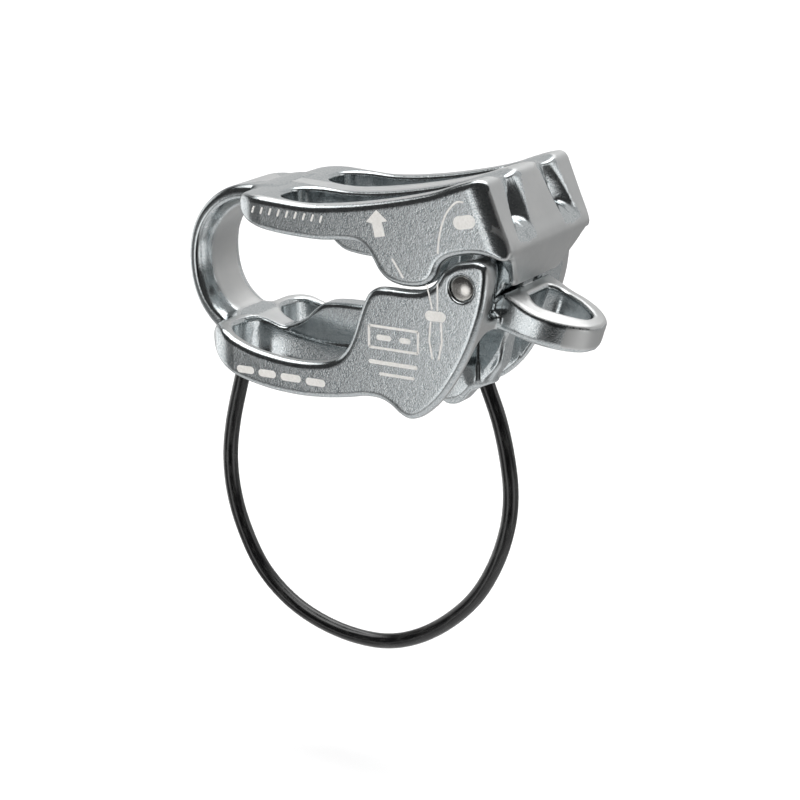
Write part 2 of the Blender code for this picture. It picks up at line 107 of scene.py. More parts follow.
UPPER_SLOT = [
    (-43.0, 8.8), (-42.5, 11.6), (-40.6, 13.9), (-37.6, 14.8), (-34.0, 14.6), (-28.0, 13.8), (-20.0, 13.1),
    (-10.0, 12.55), (-5.0, 12.4), (-3.6, 11.6), (-3.4, 8.8), (-3.6, 6.0), (-5.0, 5.3), (-10.0, 5.1), (-20.0, 4.6),
    (-28.0, 3.9), (-34.0, 3.0), (-37.6, 2.8), (-40.6, 3.7), (-42.5, 6.0),
]
LOWER_SLOT = [
    (-54.5, 8.8), (-54.0, 11.8), (-52.0, 14.2), (-48.8, 15.0), (-30.0, 15.0), (-10.0, 15.0), (1.0, 15.0), (1.6, 14.4),
    (1.6, 8.8), (1.6, 3.3), (1.0, 2.7), (-10.0, 2.7), (-30.0, 2.7), (-48.8, 2.7), (-52.0, 3.5), (-54.0, 5.8),
]
RING_TILT = math.radians(17.0)
RING_TOP = (4.0, -2.6)
RING_OUT = [(-3.0, 9.4), (2.0, 9.4), (7.0, 9.3), (11.0, 8.4), (14.5, 6.3), (17.0, 3.4), (17.9, 0.0)]
RING_HOLE = [(3.2, 4.0), (5.4, 5.6), (8.6, 5.3), (12.0, 3.7), (14.4, 1.6), (14.8, 0.0)]
KEEPER = [
    (-57.9, -22.0), (-58.9, -25.6), (-60.2, -30.4), (-62.4, -39.6), (-63.2, -46.8), (-62.6, -54.0), (-60.4, -61.4),
    (-55.8, -69.8), (-49.4, -75.6), (-42.2, -79.0), (-34.0, -80.7), (-26.2, -80.5), (-19.4, -78.3), (-12.4, -73.9),
    (-5.8, -67.3), (-1.3, -59.4), (1.2, -51.4), (1.8, -45.1), (1.2, -38.9), (-0.8, -30.4), (-3.6, -23.2),
]
CABLE_R = 1.55
KEEPER_MOUTHS = [((-57.9, -22.0), (0.2905, 0.9569)), ((-3.6, -23.2), (-0.3625, 0.9320))]  # and the way into each bore


def smooth_line(points, closed=True, step=0.5):
    """A centripetal Catmull-Rom line through the points, sampled about every step."""
    pts = np.array(points, float)
    n = len(pts)
    out = []
    for i in range(n if closed else n - 1):
        if closed:
            p = [pts[(i + k) % n] for k in (-1, 0, 1, 2)]
        else:
            p = [
                pts[i - 1] if i else 2 * pts[0] - pts[1],
                pts[i],
                pts[i + 1],
                pts[i + 2] if i + 2 < n else 2 * pts[-1] - pts[-2],
            ]
        t = [0.0]
        for a, b in zip(p, p[1:]):
            t.append(t[-1] + max(np.linalg.norm(b - a), 1e-6) ** 0.5)
        for k in range(max(1, round(np.linalg.norm(p[2] - p[1]) / step))):
            s = t[1] + (t[2] - t[1]) * k / max(1, round(np.linalg.norm(p[2] - p[1]) / step))
            a1 = p[0] * ((t[1] - s) / (t[1] - t[0])) + p[1] * ((s - t[0]) / (t[1] - t[0]))
            a2 = p[1] * ((t[2] - s) / (t[2] - t[1])) + p[2] * ((s - t[1]) / (t[2] - t[1]))
            a3 = p[2] * ((t[3] - s) / (t[3] - t[2])) + p[3] * ((s - t[2]) / (t[3] - t[2]))
            b1 = a1 * ((t[2] - s) / (t[2] - t[0])) + a2 * ((s - t[0]) / (t[2] - t[0]))
            b2 = a2 * ((t[3] - s) / (t[3] - t[1])) + a3 * ((s - t[1]) / (t[3] - t[1]))
            out.append(b1 * ((t[2] - s) / (t[2] - t[1])) + b2 * ((s - t[1]) / (t[2] - t[1])))
    if not closed:
        out.append(pts[-1])
    return np.array(out)


class Outline:
    """Signed distance to a closed plane outline, negative inside, read from a fine grid."""

    def __init__(self, points, soften=0.25, step=0.2, pad=4.0):
        line = np.array(points, float)
        low = line.min(0) - pad
        count = np.ceil((line.max(0) + pad - low) / step).astype(int) + 1
        u = low[0] + step * np.arange(count[0])
        v = low[1] + step * np.arange(count[1])
        U, V = (g.astype(np.float32) for g in np.meshgrid(u, v, indexing="ij"))
        best = np.full(U.shape, 1e9, np.float32)
        inside = np.zeros(U.shape, bool)
        for (ax, ay), (bx, by) in zip(line, np.roll(line, -1, 0)):
            dx, dy = bx - ax, by - ay
            long = dx * dx + dy * dy
            if long < 1e-12:
                continue
            s = np.clip(((U - ax) * dx + (V - ay) * dy) / long, 0, 1)
            best = np.minimum(best, (U - ax - s * dx) ** 2 + (V - ay - s * dy) ** 2)
            if ay != by:
                cross = (V > min(ay, by)) & (V <= max(ay, by))
                inside ^= cross & (U < ax + (V - ay) * dx / dy)
        grid = np.sqrt(best)
        grid[inside] *= -1
        if soften:
            reach = int(3 * soften / step) + 1
            kernel = np.exp(-0.5 * (np.arange(-reach, reach + 1) * step / soften) ** 2)
            kernel /= kernel.sum()
            for axis in (0, 1):
                padded = np.pad(grid, [(reach, reach) if k == axis else (0, 0) for k in (0, 1)], mode="edge")
                grid = sum(
                    w * np.take(padded, range(i, i + grid.shape[axis]), axis=axis) for i, w in enumerate(kernel)
                )
        self.grid, self.low, self.step = grid.astype(np.float32), low, step

    def __call__(self, u, v):
        fu = np.clip((u - self.low[0]) / self.step, 0, self.grid.shape[0] - 1.001)
        fv = np.clip((v - self.low[1]) / self.step, 0, self.grid.shape[1] - 1.001)
        i, j = fu.astype(np.int32), fv.astype(np.int32)
        a, b = fu - i, fv - j
        g = self.grid
        return (g[i, j] * (1 - a) + g[i + 1, j] * a) * (1 - b) + (g[i, j + 1] * (1 - a) + g[i + 1, j + 1] * a) * b


def both(a, b, r):
    """Where a and b meet, with the outer corner rounded to radius r."""
    p, q = a + r, b + r
    return np.minimum(np.maximum(p, q), 0) + np.hypot(np.maximum(p, 0), np.maximum(q, 0)) - r


def joined(a, b, r):
    """a and b together, with the inner corner filled to radius r."""
    return np.maximum(r, np.minimum(a, b)) - np.hypot(np.maximum(r - a, 0), np.maximum(r - b, 0))


def ease(t):
    t = np.clip(t, 0, 1)
    return t * t * (3 - 2 * t)


def half_plan(points):
    """A closed plan from its +y half, with straight ends kept inside the body."""
    line = smooth_line(points, closed=False)
    return np.vstack([line, line[::-1] * (1, -1)])


def strap_outline():
    line = smooth_line(STRAP_LINE, closed=False)
    along = np.gradient(line[:, :2], axis=0)
    along /= np.linalg.norm(along, axis=1)[:, None]
    out = np.stack([along[:, 1], -along[:, 0]], 1) * line[:, 2:] / 2
    return np.vstack([line[:, :2] + out, (line[:, :2] - out)[::-1]])


side_upper = Outline(smooth_line(UPPER_WALL))
side_lower = Outline(smooth_line(LOWER_WALL))
side_upper_mid = Outline(smooth_line(UPPER_MID))
side_lower_mid = Outline(smooth_line(LOWER_MID))
side_strap = Outline(strap_outline())
side_eye = Outline(strap_outline()[len(strap_outline()) // 2 :])
side_tongue = Outline(smooth_line(TONGUE))
side_pocket = Outline(POCKET, soften=0.2)
plan_upper = Outline(half_plan(UPPER_PLAN))
plan_lower = Outline(half_plan(LOWER_PLAN))
plan_upper_slot = Outline(smooth_line(UPPER_SLOT))
plan_lower_slot = Outline(smooth_line(LOWER_SLOT))
ring_outer = Outline(half_plan(RING_OUT))
ring_hole = Outline(half_plan(RING_HOLE))


def forging(x, y, z, parts=False):
    """Signed distance to the forging. With parts, also how far the point is from the sawn and faced surfaces."""
    a = np.abs(y)
    # Upper half
    profile = side_upper(x, z)
    end = (x - (4.9 + (20.3 - z) * 0.42)) * 0.92
    curl = np.clip((end + 4.6) / 4.6, 0, 1) * ease((z - 4.0) / 2.0)
    side = np.maximum(a - (BODY_HALF - 1.35 * curl**2.0), plan_upper(x, a))
    upper = both(profile, side, 1.35 - 0.75 * ease(curl * 1.3))
    slot = plan_upper_slot(x, a)
    upper = both(upper, -slot, 0.75)
    # A V down the leaning end face that runs out at its foot, and a shallow saddle up to the rope slot
    face = 4.9 + (20.3 - z) * 0.42
    vertex = 4.9 - 0.17 * np.clip(z - 11.3, -3.0, 9.2)
    half = 3.3 + 0.10 * np.clip(z - 12.0, 0, 9)
    off = np.hypot(a - (8.9 - 0.22 * np.clip(z - 11.5, -1.5, 9)), 0.05)
    slope = np.maximum(face - vertex, 0.25) * 0.92 / half
    vee = (slope * off - (x - vertex) * 0.92) / np.sqrt(1 + slope**2)
    groove = both(vee, (8.75 + 0.45 * (9.6 - x) + 0.12 * off - z) * 0.91, 0.3)
    crest = np.interp(x, (-10.0, -6.0, -2.0, 1.2, 3.4, 6.0), (16.2, 17.4, 19.0, 20.1, 20.5, 20.7))
    saddle = (crest - 0.9 + 0.9 * ((a - 8.3 + 0.1 * x) / 3.5) ** 2 - z) * 0.88
    groove = joined(groove, np.maximum(saddle, -7.0 - x), 0.6)
    upper = both(upper, -groove, 0.7)
    middle = both(side_upper_mid(x, z), a - 2.5, 0.9)
    upper = joined(upper, middle, 0.8)
    front = side_tongue(x, z)
    tongue = both(front, a - 9.0, 0.9)
    upper = joined(upper, tongue, 0.5)
    shoulder = both(np.maximum(front, 6.1 - x), (a - 9.4 - 0.95 * np.clip(z - 0.6, 0, 5.6)) * 0.73, 0.6)
    upper = joined(upper, shoulder, 0.7)
    # Lower half
    scoop = 0.05 * np.clip(15.9 - a, 0, 8) ** 2 * ease((z + 7.0) / 1.8)
    profile_low = side_lower(x + scoop, z)
    side_low = np.maximum(a - BODY_HALF, plan_lower(x, a))
    lower = both(profile_low, side_low, 1.35)
    low_slot = plan_lower_slot(x, a)
    lower = both(lower, -low_slot, 0.85)
    middle_low = both(side_lower_mid(x, z), a - 2.45, 0.95)
    lower = joined(lower, middle_low, 0.5)
    for (mx, mz), (ux, uz) in KEEPER_MOUTHS:
        run = (x - mx) * ux + (z - mz) * uz
        round_it = np.sqrt(np.maximum((x - mx) ** 2 + (z - mz) ** 2 - run * run, 0) + y * y)
        boss = both(round_it - 2.45, np.maximum(0.1 - run, run - 5.0), 0.6)
        lower = joined(lower, boss, 1.6)
    # The opening under the end web, between the middle wall and each outer wall
    wide = np.abs(a - 8.65) - 6.15 + 3.0
    high = z + 9.4 + 3.0
    under = np.hypot(np.maximum(wide, 0), np.maximum(high, 0)) + np.minimum(np.maximum(wide, high), 0) - 3.0
    under = np.maximum(under, -4.0 - x)
    lower = both(lower, -under, 0.9)
    # Release ring
    cos, sin = math.cos(RING_TILT), math.sin(RING_TILT)
    u = (x - RING_TOP[0]) * cos - (z - RING_TOP[1]) * sin
    w = (x - RING_TOP[0]) * sin + (z - RING_TOP[1]) * cos
    outer = ring_outer(u, a)
    top = -0.45 - 0.2 * np.clip(outer, -4.6, 0) * ease(u / 5.0) + 1.25 * (1 - ease((u + 1.0) / 8.5))
    slab = np.maximum(w - top, -6.75 + 0.03 * np.clip(u, 0, 18) - w)
    ring = both(outer, slab, np.where(w > -2.9, 0.9, 1.7))
    lower = joined(lower, ring, 1.0)
    hole = ring_hole(u, a)
    hole = np.maximum(hole, np.abs(w + 2.9) - 9.0)
    lower = both(lower, -hole, 1.0)
    pocket = both(side_pocket(x, z), a - 9.5, 0.4)
    lower = both(lower, -pocket, 0.5)
    # Anchor strap
    strap_side = side_strap(x, z)
    strap = both(strap_side, a - 7.7, 1.5 + 2.8 * ease((3.4 - side_eye(x, z)) / 3.4))
    upper = joined(upper, strap, 1.4)
    lower = joined(lower, strap, 1.4)
    body = np.minimum(upper, lower)
    # Bores
    body = both(body, 2.6 - np.hypot(x, z), 0.25)
    for (mx, mz), (ux, uz) in KEEPER_MOUTHS:
        run = (x - mx) * ux + (z - mz) * uz
        away = np.sqrt(np.maximum((x - mx) ** 2 + (z - mz) ** 2 - run * run, 0) + y * y)
        bore = np.maximum(away - 1.68, np.maximum(run - 6.4, -4.0 - run))
        body = both(body, -bore, 0.2)
    if not parts:
        return body
    # Faced surfaces lie on the outlines; rounded rims, slots, grooves and side faces don't
    near_upper = np.minimum(np.abs(profile), np.abs(front) + 10 * (x < 6.1)) + 10 * (np.abs(upper) > 0.2) + 10 * (groove < 0.25)
    near_lower = np.abs(side_lower(x, z)) + 10 * (np.abs(lower) > 0.2)
    near_strap = np.abs(strap_side) + 10 * (a > 6.2)
    near_ring = np.minimum(np.abs(w - top) - 0.3, np.abs(outer) + 10 * (u < 13.5))
    return body, near_upper, near_lower, near_strap, near_ring, slot, low_slot, hole, w, u


def surface(function, low, high, step):
    """Surface nets: the zero surface of function as vertices and quads, moved onto the surface."""
    axes = [np.arange(low[i], high[i] + step, step) for i in range(3)]
    shape = [len(a) for a in axes]
    value = np.empty(shape, np.float32)
    middle = shape[1] // 2
    X, Z = np.meshgrid(axes[0], axes[2], indexing="ij")
    for j in range(middle, shape[1]):
        value[:, j, :] = function(X, np.full_like(X, axes[1][j]), Z)
    value[:, :middle, :] = value[:, ::-1, :][:, :middle, :]
    inside = value < 0
    corners = [
        (i, j, k) for i in (0, 1) for j in (0, 1) for k in (0, 1)
    ]
    cells = tuple(n - 1 for n in shape)

    def corner(array, c):
        return array[c[0] : c[0] + cells[0], c[1] : c[1] + cells[1], c[2] : c[2] + cells[2]]

    total = sum(corner(inside, c).astype(np.int8) for c in corners)
    active = (total > 0) & (total < 8)
    index = np.full(cells, -1, np.int64)
    found = np.argwhere(active)
    index[active] = np.arange(len(found))
    sums = np.zeros((len(found), 3))
    hits = np.zeros(len(found))
    for n, a in enumerate(corners):
        for b in corners[n + 1 :]:
            if sum(abs(p - q) for p, q in zip(a, b)) != 1:
                continue
            va = value[tuple((found + a).T)]
            vb = value[tuple((found + b).T)]
            cross = (va < 0) != (vb < 0)
            s = np.where(cross, va / np.where(va == vb, 1, va - vb), 0)
            point = np.array(a) + s[:, None] * (np.array(b) - np.array(a))
            sums += point * cross[:, None]
            hits += cross
    verts = (found + sums / hits[:, None]) * step + np.array([a[0] for a in axes])
    quads = []
    for axis in range(3):
        other = [k for k in range(3) if k != axis]
        left = [slice(None)] * 3
        right = [slice(None)] * 3
        left[axis], right[axis] = slice(0, -1), slice(1, None)
        first, second = inside[tuple(left)], inside[tuple(right)]
        edges = np.argwhere(first != second)
        ok = np.all([(edges[:, k] > 0) & (edges[:, k] < shape[k] - 1) for k in other], axis=0)
        edges = edges[ok]
        flip = first[tuple(edges.T)]
        ring = []
        for du, dv in ((-1, -1), (0, -1), (0, 0), (-1, 0)):
            cell = edges.copy()
            cell[:, other[0]] += du
            cell[:, other[1]] += dv
            ring.append(index[tuple(cell.T)])
        ring = np.stack(ring, 1)
        turn = flip if axis != 1 else ~flip
        ring[~turn] = ring[~turn][:, ::-1]
        quads.append(ring)
    quads = np.vstack(quads)
    for _ in range(3):
        x, y, z = verts.T
        d = function(x, y, z)
        e = 0.05
        slope = np.stack(
            [
                function(x + e, y, z) - function(x - e, y, z),
                function(x, y + e, z) - function(x, y - e, z),
                function(x, y, z + e) - function(x, y, z - e),
            ],
            1,
        ) / (2 * e)
        size = np.maximum((slope**2).sum(1), 0.2)
        move = -slope * (d / size)[:, None]
        far = np.linalg.norm(move, axis=1)
        move *= np.minimum(1, 0.5 * step / np.maximum(far, 1e-9))[:, None]
        verts = verts + move
    return verts, quads


def mesh_object(name, verts, faces, smooth=True):
    mesh = bpy.data.meshes.new(name)
    mesh.from_pydata([tuple(v) for v in verts], [], [tuple(f) for f in faces])
    mesh.validate()
    mesh.update()
    mesh.polygons.foreach_set("use_smooth", [smooth] * len(mesh.polygons))
    obj = bpy.data.objects.new(name, mesh)
    bpy.context.scene.collection.objects.link(obj)
    return obj


def attribute(obj, name, values):
    made = obj.data.attributes.new(name, "FLOAT", "POINT")
    made.data.foreach_set("value", np.asarray(values, np.float32))


# ---------------------------------------------------------------- materials


class Nodes:
    """A short way to write node graphs."""

    def __init__(self, tree):
        self.tree = tree

    def new(self, kind, inputs=None, **settings):
        node = self.tree.nodes.new(kind)
        for key, value in settings.items():
            setattr(node, key, value)
        for key, value in (inputs or {}).items():
            if isinstance(value, bpy.types.NodeSocket):
                self.tree.links.new(value, node.inputs[key])
            else:
                node.inputs[key].default_value = value
        return node

    def math(self, operation, *values, clamp=False):
        return self.new("ShaderNodeMath", dict(enumerate(values)), operation=operation, use_clamp=clamp).outputs[0]

    def remap(self, value, a, b, c=0.0, d=1.0, kind="SMOOTHSTEP"):
        return self.new(
            "ShaderNodeMapRange",
            {"Value": value, "From Min": a, "From Max": b, "To Min": c, "To Max": d},
            interpolation_type=kind,
        ).outputs[0]

    def noise(self, vector, scale, detail=2.0, rough=0.5):
        return self.new(
            "ShaderNodeTexNoise", {"Vector": vector, "Scale": scale, "Detail": detail, "Roughness": rough}
        ).outputs[0]

    def mix(self, factor, a, b):
        node = self.new("ShaderNodeMix", data_type="RGBA")
        for socket, value in ((node.inputs[0], factor), (node.inputs[6], a), (node.inputs[7], b)):
            if isinstance(value, bpy.types.NodeSocket):
                self.tree.links.new(value, socket)
            else:
                socket.default_value = value
        return node.outputs[2]


def new_material(name):
    made = bpy.data.materials.new(name)
    made.use_nodes = True
    nodes = Nodes(made.node_tree)
    return made, nodes, made.node_tree.nodes["Principled BSDF"]


def link(nodes, output, shader, socket):
    nodes.tree.links.new(output, shader.inputs[socket])


def aluminium():
    """Tumbled forging: glossy and finely speckled, with finer satin on the faced surfaces."""
    made, n, shader = new_material("forged_aluminium")
    place = n.new("ShaderNodeTexCoord").outputs["Object"]
    satin = n.new("ShaderNodeAttribute", attribute_name="satin").outputs["Fac"]
    grain = n.noise(place, 3300.0, 2.0, 0.6)
    coarse = n.noise(place, 900.0, 3.0, 0.55)
    cloud = n.noise(place, 90.0, 3.0, 0.5)
    # colour: cool grey, mottled by the tumbling; the faced surfaces are a little lighter and more even
    speck = n.remap(grain, 0.32, 0.72)
    light = n.mix(speck, (0.42, 0.465, 0.48, 1), (0.74, 0.76, 0.765, 1))
    patch = n.mix(n.remap(coarse, 0.35, 0.7), light, (0.585, 0.615, 0.625, 1))
    faced = n.mix(n.remap(cloud, 0.3, 0.7), (0.60, 0.61, 0.61, 1), (0.66, 0.665, 0.66, 1))
    link(n, n.mix(satin, patch, faced), shader, "Base Color")
    shader.inputs["Metallic"].default_value = 1.0
    rough = n.math("ADD", n.remap(coarse, 0.3, 0.7, 0.0, 0.06), 0.13)
    rough = n.math("ADD", rough, n.math("MULTIPLY", satin, 0.25))
    link(n, rough, shader, "Roughness")
    # bump: shot-like grain on the glossy faces, hardly any on the satin
    strength = n.remap(satin, 0.0, 1.0, 0.40, 0.06)
    height = n.math("ADD", n.math("MULTIPLY", grain, 0.5), n.math("MULTIPLY", coarse, 0.5))
    bump = n.new("ShaderNodeBump", {"Strength": strength, "Distance": 0.00008, "Height": height})
    link(n, bump.outputs[0], shader, "Normal")
    return made


def rivet_steel():
    made, n, shader = new_material("rivet_head_steel")
    place = n.new("ShaderNodeTexCoord").outputs["Object"]
    turned = n.noise(n.new("ShaderNodeVectorMath", {0: place, 1: (1.0, 0.06, 1.0)}, operation="MULTIPLY").outputs[0], 2600.0, 3.0)
    colour = n.mix(n.remap(turned, 0.3, 0.7), (0.66, 0.635, 0.60, 1), (0.76, 0.74, 0.71, 1))
    link(n, colour, shader, "Base Color")
    shader.inputs["Metallic"].default_value = 1.0
    link(n, n.remap(turned, 0.2, 0.8, 0.16, 0.26), shader, "Roughness")
    bump = n.new("ShaderNodeBump", {"Strength": 0.12, "Distance": 0.00004, "Height": turned})
    link(n, bump.outputs[0], shader, "Normal")
    return made


def wire_steel():
    made, n, shader = new_material("wire_rope_steel")
    place = n.new("ShaderNodeTexCoord").outputs["Object"]
    strand = n.noise(place, 1800.0, 2.0)
    link(n, n.mix(n.remap(strand, 0.3, 0.7), (0.36, 0.36, 0.37, 1), (0.55, 0.55, 0.56, 1)), shader, "Base Color")
    shader.inputs["Metallic"].default_value = 1.0
    link(n, n.remap(strand, 0.2, 0.8, 0.3, 0.45), shader, "Roughness")
    return made


def black_sheath():
    """Extruded black plastic over a laid wire: fine streaks run along it."""
    made, n, shader = new_material("black_cable_sheath")
    around = n.new("ShaderNodeAttribute", attribute_name="around").outputs["Fac"]
    along = n.new("ShaderNodeAttribute", attribute_name="along").outputs["Fac"]
    where = n.new("ShaderNodeCombineXYZ", {"X": n.math("MULTIPLY", around, 9.0), "Y": n.math("MULTIPLY", along, 22.0)}).outputs[0]
    streak = n.noise(where, 1.0, 3.0, 0.55)
    place = n.new("ShaderNodeTexCoord").outputs["Object"]
    fleck = n.noise(place, 2400.0, 2.0)
    link(n, n.mix(n.remap(streak, 0.42, 0.72), (0.006, 0.006, 0.0065, 1), (0.028, 0.028, 0.027, 1)), shader, "Base Color")
    link(n, n.remap(streak, 0.3, 0.7, 0.13, 0.30), shader, "Roughness")
    shader.inputs["IOR"].default_value = 1.5
    shader.inputs["Coat Weight"].default_value = 0.35
    shader.inputs["Coat Roughness"].default_value = 0.08
    height = n.math("ADD", n.math("MULTIPLY", streak, 0.8), n.math("MULTIPLY", fleck, 0.2))
    bump = n.new("ShaderNodeBump", {"Strength": 0.35, "Distance": 0.00012, "Height": height})
    link(n, bump.outputs[0], shader, "Normal")
    return made


def pale_print():
    """Laser-bleached marks: a dry, warm off-white with the metal's grain showing through."""
    made, n, shader = new_material("laser_mark")
    place = n.new("ShaderNodeTexCoord").outputs["Object"]
    grain = n.noise(place, 3000.0, 2.0, 0.6)
    link(n, n.mix(n.remap(grain, 0.3, 0.75), (0.88, 0.86, 0.82, 1), (0.99, 0.97, 0.935, 1)), shader, "Base Color")
    link(n, n.remap(grain, 0.3, 0.7, 0.55, 0.75), shader, "Roughness")
    shader.inputs["Metallic"].default_value = 0.0
    return made


# ---------------------------------------------------------------- the forging

verts, quads = surface(forging, (-69.0, -18.6, -29.4), (22.8, 18.6, 22.2), VOXEL)
x, y, z = verts.T
_, near_upper, near_lower, near_strap, near_ring, slot, low_slot, hole, ring_w, ring_u = forging(x, y, z, parts=True)
faced = np.min([near_upper, near_lower, near_strap], axis=0)
satin = ease((np.where(x > 5.0, 0.7, 0.16) - faced) / np.where(x > 5.0, 0.3, 0.12))
ring_zone = (ring_u > 1.0) & (ring_w > -7.0) & (ring_w < 1.6) & (np.abs(y) < 10.0)
satin = np.where(ring_zone, np.maximum(ease((0.14 - near_ring) / 0.1) * ease((hole - 0.1) / 0.4), 0), satin)
satin *= ease((slot - 0.35) / 0.5) * ease((low_slot - 0.3) / 0.5)

body = mesh_object("forging", (verts + SHIFT) * MM, quads)
attribute(body, "satin", satin)
body.data.materials.append(aluminium())
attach(body, "body")
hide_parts("forged_body")


# ---------------------------------------------------------------- the rivet


def lathe(name, profile, sides=72):
    """A turned piece about the rivet axis from (radius, y) pairs."""
    verts, faces = [], []
    for r, y in profile:
        for k in range(sides):
            t = 2 * math.pi * k / sides
            verts.append(((r * math.cos(t) + SHIFT[0]) * MM, y * MM, (r * math.sin(t) + SHIFT[2]) * MM))
    for i in range(len(profile) - 1):
        for k in range(sides):
            a, b = i * sides + k, i * sides + (k + 1) % sides
            faces.append((a, b, b + sides, a + sides))
    faces.append(tuple(range(sides))[::-1])
    faces.append(tuple(range((len(profile) - 1) * sides, len(profile) * sides)))
    obj = mesh_object(name, verts, faces)
    obj.data.set_sharp_from_angle(angle=math.radians(38))
    return obj


head = [(0.02, 0.0), (0.9, 0.05), (1.7, 0.17), (2.1, 0.28), (2.28, 0.36), (2.38, 0.5), (2.4, 0.8)]
profile = [(r, -17.44 + d) for r, d in head] + [(r, 17.44 - d) for r, d in head[::-1]]
rivet = lathe("rivet", profile)
rivet.data.materials.append(rivet_steel())
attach(rivet, "body")
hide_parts("closing_rivet")


# ---------------------------------------------------------------- plain generic marks on the near side face


def ribbon(points, width):
    """A stroke of even width along (x, z) points, as a row of quads."""
    pts = np.array(points, float)
    along = np.gradient(pts, axis=0)
    along /= np.linalg.norm(along, axis=1)[:, None]
    out = np.stack([-along[:, 1], along[:, 0]], 1) * width / 2
    loop = [tuple(p) for pair in zip(pts + out, pts - out) for p in pair]
    return loop, [(2 * i, 2 * i + 1, 2 * i + 3, 2 * i + 2) for i in range(len(pts) - 1)]


def polygon(points):
    return [tuple(p) for p in points], [tuple(range(len(points)))]


def pill(cx, cz, long, wide, turn=0.0):
    """A rounded bar."""
    out = []
    for k in range(24):
        t = 2 * math.pi * k / 24
        px = math.cos(t) * wide / 2 + math.copysign(max(long - wide, 0) / 2, math.cos(t))
        pz = math.sin(t) * wide / 2
        out.append((cx + px * math.cos(turn) - pz * math.sin(turn), cz + px * math.sin(turn) + pz * math.cos(turn)))
    return polygon(out)


strokes = []
for k in range(9):  # a row of plain ticks on the upper wall
    strokes.append(pill(-45.3 + 1.9 * k, 10.0 - 0.03 * k, 1.5, 0.42, math.radians(70)))
arrow = [(-18.0, 12.9), (-20.2, 10.4), (-18.9, 10.2), (-18.3, 7.6), (-16.1, 8.1), (-16.8, 10.7), (-15.6, 11.0)]
strokes.append(polygon(arrow))
strokes.append(ribbon([(-14.6, 4.0), (-13.4, 2.3), (-12.2, 0.6)], 0.42))
rope = [(-4.9, 6.0), (-4.6, 9.0), (-3.9, 12.0), (-2.6, 14.6), (-0.9, 16.2), (0.4, 16.3)]
strokes.append(ribbon(smooth_line(rope, closed=False, step=0.4), 0.36))
strokes.append(pill(0.6, 12.6, 4.6, 2.6, math.radians(12)))
for k, (cx, long) in enumerate(((-47.6, 4.0), (-42.6, 4.0), (-37.2, 4.6), (-31.6, 4.4))):  # plain bars on the lower lobe
    strokes.append(pill(cx, -22.1 - 0.1 * k, long, 1.5))
frame_line = [(-19.6, -9.4), (-9.0, -9.4), (-9.0, -13.6), (-19.6, -13.6)]
for a, b in zip(frame_line, frame_line[1:] + frame_line[:1]):
    strokes.append(ribbon([a, ((a[0] + b[0]) / 2, (a[1] + b[1]) / 2), b], 0.5))
strokes.append(pill(-16.4, -11.5, 3.2, 1.1))
strokes.append(pill(-11.8, -11.5, 2.4, 1.1))
strokes.append(pill(-14.4, -16.4, 10.6, 0.8))
strokes.append(pill(-13.6, -18.6, 7.6, 0.6))
strokes.append(ribbon([(-7.2, 0.0), (-6.6, -2.2), (-6.0, -4.6)], 0.34))
strokes.append(ribbon([(-4.9, 0.4), (-4.9, -2.2), (-4.9, -4.8)], 0.34))
strokes.append(pill(-5.3, -5.9, 4.4, 2.0))
strokes.append(ribbon([(-6.3, -7.0), (-6.6, -10.6), (-5.9, -14.2)], 0.4))
strokes.append(ribbon([(-4.1, -7.0), (-3.9, -10.6), (-4.6, -14.2)], 0.4))
mark_verts, mark_faces = [], []
for loop, faces in strokes:
    base = len(mark_verts)
    mark_verts += [((px + SHIFT[0]) * MM, -(BODY_HALF + 0.012) * MM, (pz + SHIFT[2]) * MM) for px, pz in loop]
    mark_faces += [tuple(base + i for i in f) for f in faces]
marks = mesh_object("laser_marks", mark_verts, mark_faces, smooth=False)
marks.data.materials.append(pale_print())
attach(marks, "body")


# ---------------------------------------------------------------- the keeper cable


def even(points, count):
    line = smooth_line(points, closed=False, step=0.3)
    run = np.concatenate([[0], np.cumsum(np.linalg.norm(np.diff(line, axis=0), axis=1))])
    want = np.linspace(0, run[-1], count)
    return np.stack([np.interp(want, run, line[:, k]) for k in range(2)], 1)


def tube(name, line, radius, sides):
    """A round cord along (x, z) points of the middle plane."""
    along = np.gradient(line, axis=0)
    along /= np.linalg.norm(along, axis=1)[:, None]
    verts, faces, around, run = [], [], [], []
    length = 0.0
    for i, (p, t) in enumerate(zip(line, along)):
        if i:
            length += float(np.linalg.norm(line[i] - line[i - 1]))
        for k in range(sides):
            angle = 2 * math.pi * k / sides
            out = math.cos(angle) * radius
            verts.append(((p[0] + t[1] * out + SHIFT[0]) * MM, math.sin(angle) * radius * MM, (p[1] - t[0] * out + SHIFT[2]) * MM))
            around.append(abs(angle - math.pi) / math.pi)
            run.append(length / 100.0)
    for i in range(len(line) - 1):
        for k in range(sides):
            a, b = i * sides + k, i * sides + (k + 1) % sides
            faces.append((a, b, b + sides, a + sides))
    faces.append(tuple(range(sides))[::-1])
    faces.append(tuple(range((len(line) - 1) * sides, len(line) * sides)))
    obj = mesh_object(name, verts, faces)
    obj.data.set_sharp_from_angle(angle=math.radians(60))
    attribute(obj, "around", around)
    attribute(obj, "along", run)
    return obj, length


line = even(KEEPER, 241)
sheath, length = tube("keeper_cable", line, CABLE_R, 40)
sheath.data.materials.append(black_sheath())
core, _ = tube("keeper_wire", line, 0.8, 12)
core.data.materials.append(wire_steel())
for piece, node, slot_name in ((sheath, "keeper_sheath", "black_sheath"), (core, "keeper_core", "wire_steel")):
    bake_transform(piece)
    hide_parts(node)
for node in ("front_cable_stop", "rear_cable_stop"):
    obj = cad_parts[node]
    steel = wire_steel()
    if obj.data.materials:
        obj.data.materials[0] = steel
    else:
        obj.data.materials.append(steel)


# ---------------------------------------------------------------- camera, floor and light

